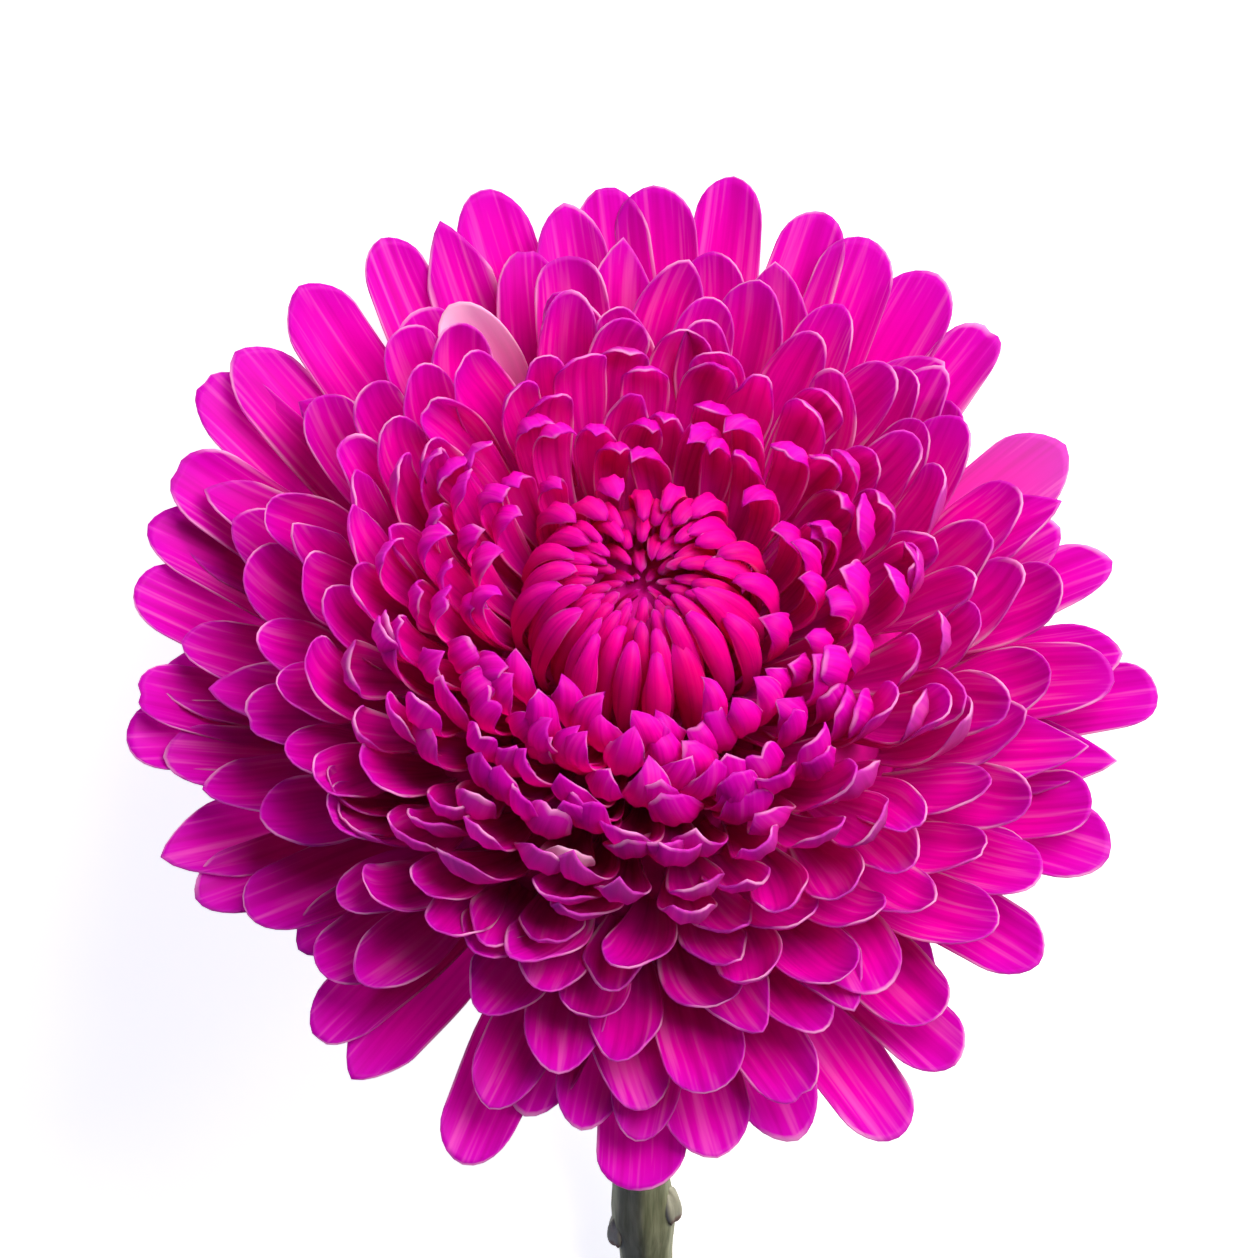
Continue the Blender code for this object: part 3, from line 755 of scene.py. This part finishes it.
def add(tree, kind, inputs=None, output=0, stops=(), **settings):
    """Adds a node with its settings and a ramp's stops, fills its inputs, and gives the output asked for."""
    made = tree.nodes.new(kind)
    for name, value in settings.items():
        setattr(made, name, value)
    for socket, value in (inputs or {}).items():
        if isinstance(value, bpy.types.NodeSocket):
            tree.links.new(value, made.inputs[socket])
        else:
            made.inputs[socket].default_value = linear(value) if isinstance(value, str) else value
    for place, colour in stops[1:-1]:
        made.color_ramp.elements.new(place).color = linear(colour)
    if stops:
        ends = made.color_ramp.elements
        ends[0].position, ends[0].color = stops[0][0], linear(stops[0][1])
        ends[len(ends) - 1].position, ends[len(ends) - 1].color = stops[-1][0], linear(stops[-1][1])
    return made.outputs[output] if made.outputs else made


def new_material(name):
    """A material with only its output node, and the node tree to fill."""
    material = bpy.data.materials.new(name)
    material.use_nodes = True
    tree = material.node_tree
    for old in list(tree.nodes):
        tree.nodes.remove(old)
    return material, tree


MATH, MIX, RANGE, RAMP = "ShaderNodeMath", "ShaderNodeMix", "ShaderNodeMapRange", "ShaderNodeValToRGB"
NOISE, BUMP, SKIN = "ShaderNodeTexNoise", "ShaderNodeBump", "ShaderNodeBsdfPrincipled"
VALUE, VECTOR, OUTPUT = "ShaderNodeAttribute", "ShaderNodeVectorMath", "ShaderNodeOutputMaterial"
# The Mix node's colour inputs and output by number, because its names serve every data type.
FIRST, SECOND, BLEND = 6, 7, 2
# How far apart the patterns of two blades can lie, so that each has its own.
OWN_PATTERN = 60.0


def petal_tissue():
    """Living petal tissue, dyed by its sap: saturated magenta, thin enough to glow, with a soft waxy sheen.

    The heart is crimson and the blades' ends are purple. Their claws are deep pink, partly their own colour
    and partly painted shade of the bloom's depth. Rims, and towards the outside of the bloom the backs, are
    nearly colourless tissue and look pale pink, and the pale lengthwise stripes there are painted sheen.
    """
    material, tree = new_material("magenta_petal_tissue")
    place = add(tree, "ShaderNodeUVMap", uv_map="floret")
    along = add(tree, "ShaderNodeSeparateXYZ", {0: place}, "Y")
    reach, back, edge, rim_width, tint, pale = (
        add(tree, VALUE, output="Fac", attribute_name=name)
        for name in ("reach", "back", "edge_mm", "rim_mm", "tint", "pale")
    )
    shade = add(tree, MATH, {0: tint, 1: 0.16, 2: reach}, operation="MULTIPLY_ADD")
    colour = add(
        tree,
        RAMP,
        {"Fac": shade},
        stops=((0.04, "#E20076"), (0.2, "#F400A2"), (0.42, "#F600C2"), (0.75, "#EE00C0"), (1.0, "#E400B4")),
    )
    end = add(tree, RANGE, {"Value": along, "From Min": 0.66, "From Max": 1.0, "To Max": 0.5})
    colour = add(tree, MIX, {0: end, FIRST: colour, SECOND: "#A812C4"}, BLEND, data_type="RGBA")
    # Deep pink towards the claw: partly its own colour, partly painted shade of the bloom's depth.
    claw = add(tree, RANGE, {"Value": along, "From Min": 0.55, "From Max": 0.2, "To Max": 0.25})
    colour = add(tree, MIX, {0: claw, FIRST: colour, SECOND: "#CC0084"}, BLEND, data_type="RGBA")

    # Veins and the paler tissue between them lie about 0.8 mm apart across a blade of 8 mm.
    shift = add(tree, MATH, {0: tint, 1: OWN_PATTERN}, operation="MULTIPLY")
    own = add(tree, "ShaderNodeCombineXYZ", {"Z": shift})
    drawn = add(tree, VECTOR, {0: place, 1: (13.0, 1.0, 1.0), 2: own}, operation="MULTIPLY_ADD")
    veins = add(tree, NOISE, {"Vector": drawn, "Scale": 1.0, "Detail": 2.0, "Roughness": 0.6})
    sap = add(tree, RANGE, {"Value": veins, "From Min": 0.5, "From Max": 0.34, "To Max": 0.28})
    colour = add(tree, MIX, {0: sap, FIRST: colour, SECOND: "#A0006A"}, BLEND, data_type="RGBA")
    # Pale lengthwise streaks on the outer blades: painted sheen, the satin reflections of their ribs.
    painted_sheen_streaks = add(tree, RANGE, {"Value": veins, "From Min": 0.54, "From Max": 0.7})
    outward = {"From Min": 0.2, "From Max": 0.9, "To Min": 0.06, "To Max": 0.4}
    outward = add(tree, RANGE, {"Value": reach, **outward})
    painted_sheen_streaks = add(tree, MATH, {0: painted_sheen_streaks, 1: outward}, operation="MULTIPLY")
    colour = add(tree, MIX, {0: painted_sheen_streaks, FIRST: colour, SECOND: "#F27CCC"}, BLEND, data_type="RGBA")
    backs = add(tree, RANGE, {"Value": reach, "From Min": 0.5, "From Max": 0.95, "To Max": 0.6})
    backs = add(tree, MATH, {0: back, 1: backs}, operation="MULTIPLY")
    colour = add(tree, MIX, {0: backs, FIRST: colour, SECOND: "#E6A4D4"}, BLEND, data_type="RGBA")
    pale_end = add(tree, RANGE, {"Value": along, "From Min": 0.2, "From Max": 0.9, "To Max": 0.85})
    pale_end = add(tree, MATH, {0: pale_end, 1: pale}, operation="MULTIPLY")
    colour = add(tree, MIX, {0: pale_end, FIRST: colour, SECOND: "#F1D3E2"}, BLEND, data_type="RGBA")

    # The rim is 0.15 to 0.75 mm wide and fades out here and there along the blade.
    beat = add(tree, MATH, {0: place, 1: 24.0, 2: shift}, operation="MULTIPLY_ADD")
    beat = add(tree, MATH, {0: beat}, operation="SINE")
    broken = {"From Min": -0.1, "From Max": 0.9, "To Min": 0.06, "To Max": 0.9}
    broken = add(tree, RANGE, {"Value": beat, **broken})
    rim = add(tree, RANGE, {"Value": edge, "From Min": rim_width, "From Max": 0.02})
    rim = add(tree, MATH, {0: rim, 1: broken}, operation="MULTIPLY")
    spread = add(tree, RANGE, {"Value": reach, "From Min": 0.2, "From Max": 0.65, "To Min": 0.3})
    rim = add(tree, MATH, {0: rim, 1: spread}, operation="MULTIPLY")
    colour = add(tree, MIX, {0: rim, FIRST: colour, SECOND: "#EFB4DC"}, BLEND, data_type="RGBA")

    skin = add(tree, SKIN, {"Base Color": colour, "Roughness": 0.42, "Specular IOR Level": 0.07})
    glow = add(tree, "ShaderNodeBsdfTranslucent", {"Color": colour})
    tissue = add(tree, "ShaderNodeMixShader", {"Fac": 0.6, 1: skin, 2: glow})
    add(tree, OUTPUT, {"Surface": tissue})
    return material


def packed_claws_in_painted_shade():
    """The florets' crowded bases deep in the bloom: deep magenta, darkened as painted shade of the depth."""
    material, tree = new_material("packed_claws_in_painted_shade")
    place = add(tree, "ShaderNodeTexCoord", output="Object")
    grain = add(tree, NOISE, {"Vector": place, "Scale": 420.0, "Detail": 3.0})
    # Darker than the blades: painted shade of the depth between the florets.
    colour = add(tree, RAMP, {"Fac": grain}, stops=((0.3, "#B4007C"), (0.7, "#DC009C")))
    skin = add(tree, SKIN, {"Base Color": colour, "Roughness": 0.7, "Specular IOR Level": 0.1})
    add(tree, OUTPUT, {"Surface": skin})
    return material


def green_bract():
    """Bract tissue: matt leaf green with a dry, papery, brownish margin."""
    material, tree = new_material("green_bract")
    place = add(tree, "ShaderNodeUVMap", uv_map="floret")
    tint, edge = (add(tree, VALUE, output="Fac", attribute_name=name) for name in ("tint", "edge_mm"))
    shift = add(tree, MATH, {0: tint, 1: OWN_PATTERN}, operation="MULTIPLY")
    own = add(tree, "ShaderNodeCombineXYZ", {"Z": shift})
    drawn = add(tree, VECTOR, {0: place, 1: (12.0, 1.5, 1.0), 2: own}, operation="MULTIPLY_ADD")
    grain = add(tree, NOISE, {"Vector": drawn, "Scale": 1.0, "Detail": 3.0})
    colour = add(tree, RAMP, {"Fac": grain}, stops=((0.3, "#4F6135"), (0.7, "#70814C")))
    margin = add(tree, RANGE, {"Value": edge, "From Min": 0.55, "From Max": 0.15, "To Max": 0.8})
    colour = add(tree, MIX, {0: margin, FIRST: colour, SECOND: "#8B7B55"}, BLEND, data_type="RGBA")
    relief = add(tree, BUMP, {"Height": grain, "Strength": 0.4, "Distance": 0.0002})
    matt = {"Roughness": 0.6, "Specular IOR Level": 0.3}
    skin = add(tree, SKIN, {"Base Color": colour, "Normal": relief, **matt})
    add(tree, OUTPUT, {"Surface": skin})
    return material


def stem_skin(name, mark, mark_stops):
    """The skin of a stripped woody stem: grey-green, finely ribbed and matt, with brown-red scars.

    The mark is the mesh value that says where the skin gives way to pith or scar, and its stops give their
    colours.
    """
    material, tree = new_material(name)
    place = add(tree, "ShaderNodeTexCoord", output="Object")
    # The skin's fibres lie about 0.4 mm apart and run along the stem.
    drawn = add(tree, "ShaderNodeMapping", {"Vector": place, "Scale": (1.0, 0.12, 1.0)})
    fibres = add(tree, NOISE, {"Vector": drawn, "Scale": 1400.0, "Detail": 3.0})
    blotches = add(tree, NOISE, {"Vector": place, "Scale": 110.0, "Detail": 2.0})
    colour = add(tree, RAMP, {"Fac": fibres}, stops=((0.3, "#5C6247"), (0.7, "#858A6C")))
    rusty = add(tree, RANGE, {"Value": blotches, "From Min": 0.55, "From Max": 0.75, "To Max": 0.5})
    colour = add(tree, MIX, {0: rusty, FIRST: colour, SECOND: "#7A6A52"}, BLEND, data_type="RGBA")
    amount = add(tree, VALUE, output="Fac", attribute_name=mark)
    depth = add(tree, VALUE, output="Fac", attribute_name=mark + "_depth")
    marked = add(tree, RAMP, {"Fac": depth}, stops=mark_stops)
    colour = add(tree, MIX, {0: amount, FIRST: colour, SECOND: marked}, BLEND, data_type="RGBA")
    relief = add(tree, BUMP, {"Height": fibres, "Strength": 0.5, "Distance": 0.0002})
    matt = {"Roughness": 0.62, "Specular IOR Level": 0.3}
    skin = add(tree, SKIN, {"Base Color": colour, "Normal": relief, **matt})
    add(tree, OUTPUT, {"Surface": skin})
    return material


def lit_white_acrylic():
    """The table: a sheet of matt white acrylic that is lit a little from below, so that it stays pale."""
    material, tree = new_material("lit_white_acrylic")
    glow = {"Emission Color": "#FFFFFF", "Emission Strength": 0.82}
    skin = add(tree, SKIN, {"Base Color": "#F7F6F6", "Roughness": 0.9, **glow})
    add(tree, OUTPUT, {"Surface": skin})
    return material


def wear(piece, material, slot, *nodes):
    """Gives the piece its material, rides it on the flower and lets it stand for these nodes."""
    piece.data.materials.clear()
    piece.data.materials.append(material)
    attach(piece, "root")
    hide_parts(*nodes)


def build_bloom():
    """The ray florets in rings, the heart, the beds that they grow from, the bracts and their cup."""
    blank = blade_blank("floret_blank", BLANK_ACROSS, BLANK_ALONG)
    heart_blank = blade_blank("heart_blank", HEART_BLANK_ACROSS, HEART_BLANK_ALONG)
    draw = random.Random(SEED + 2)
    florets = ray_florets()
    pale = pale_florets(florets)
    petal = petal_tissue()
    for name, low, high in RINGS:
        ring = [floret for floret in florets if low <= floret.tip[0] < high]
        wear(make_florets(name, blank, ring, draw, pale), petal, "ray_floret", "ray_florets")
    heart = make_florets("heart_bud", heart_blank, heart_florets(), draw, {})
    wear(heart, petal, "heart_floret", "heart_florets")
    # The beds' dark magenta is painted shade deep in the bloom.
    claws = packed_claws_in_painted_shade()
    wear(turned_piece("floret_bed", BED_PROFILE, BED_SIDES), claws, "ray_floret", "ray_florets")
    heart_bed = turned_piece("heart_bed", HEART_BED_PROFILE, HEART_BED_SIDES)
    wear(heart_bed, claws, "heart_floret", "heart_florets")
    bracts = make_bracts(heart_blank)
    green = green_bract()
    wear(bracts, green, "bract", "involucre")
    cup = turned_piece("bract_cup", CUP_PROFILE, BED_SIDES)
    set_values(cup, "edge_mm", 2.0)
    set_values(cup, "tint", 0.5)
    cup.data.uv_layers[0].name = "floret"
    wear(cup, green, "bract", "involucre")
    for thing in (blank, heart_blank):
        bpy.data.objects.remove(thing)


def build_stem():
    """The stem with its pale cut, and its leaf joints with their dark scars."""
    pith = ((0.15, "#6E7A4C"), (0.4, "#B9C292"), (0.58, "#D9DCC0"))
    wear(make_stem(), stem_skin("stripped_stem", "cut", pith), "stem", "stem")
    bud_and_scar = ((0.1, "#9A9890"), (0.9, "#5E3A2A"))
    wear(make_leaf_joints(), stem_skin("leaf_joint_skin", "scar", bud_and_scar), "stem", "stem")


def add_table():
    """The table under the flower, which is stage and no part of it."""
    bpy.ops.object.select_all(action="DESELECT")
    bpy.ops.mesh.primitive_plane_add(size=6, location=(0, 0, 0))
    table = bpy.context.object
    table.name = "table"
    table.data.materials.append(lit_white_acrylic())


def area_light(name, offset, size, power, colour):
    """A soft light at an offset from the bloom, in metres, turned towards it."""
    light = bpy.data.lights.new(name, "AREA")
    light.size = size
    light.energy = power
    light.color = linear(colour)[:3]
    lamp = bpy.data.objects.new(name, light)
    head = Vector(HEAD_CENTRE * MM)
    lamp.location = head + Vector(offset)
    lamp.rotation_euler = (head - lamp.location).to_track_quat("-Z", "Y").to_euler()
    bpy.context.scene.collection.objects.link(lamp)


def light_studio():
    """A soft key from the picture's upper right, a bluish fill from its lower left, and a dim white room."""
    area_light("key", offset=(-0.68, -1.18, 0.42), size=1.2, power=64.0, colour="#FFF6F2")
    area_light("fill", offset=(0.85, 0.25, 0.6), size=0.9, power=2.8, colour="#9098FF")
    world = bpy.data.worlds.new("white_room")
    bpy.context.scene.world = world
    world.use_nodes = True
    background = world.node_tree.nodes["Background"]
    background.inputs["Color"].default_value = linear("#FFFFFF")
    background.inputs["Strength"].default_value = 0.05


def place_camera():
    """The camera looks down on the bloom from the front, rolled half a turn, so that the stem runs down."""
    right = Vector((-1, 0, 0))
    up = Vector((0, -math.sin(CAMERA_ELEVATION), -math.cos(CAMERA_ELEVATION)))
    back = Vector((0, -math.cos(CAMERA_ELEVATION), math.sin(CAMERA_ELEVATION)))
    aim = Vector(HEAD_CENTRE) + AIM_RIGHT * right + AIM_UP * up
    lens = bpy.data.cameras.new("camera")
    lens.sensor_width = SENSOR
    lens.lens = SENSOR * CAMERA_DISTANCE / FRAME_WIDTH
    camera = bpy.data.objects.new("camera", lens)
    turn = Matrix((right, up, back)).transposed().to_4x4()
    camera.matrix_world = Matrix.Translation((aim + CAMERA_DISTANCE * back) * MM) @ turn
    bpy.context.scene.collection.objects.link(camera)
    bpy.context.scene.camera = camera


place_camera()
build_bloom()
build_stem()
add_table()
light_studio()
# The plain transform keeps the petals' saturated magenta, which a film-like one would wash out.
bpy.context.scene.view_settings.view_transform = "Standard"

bpy.context.view_layer.update()
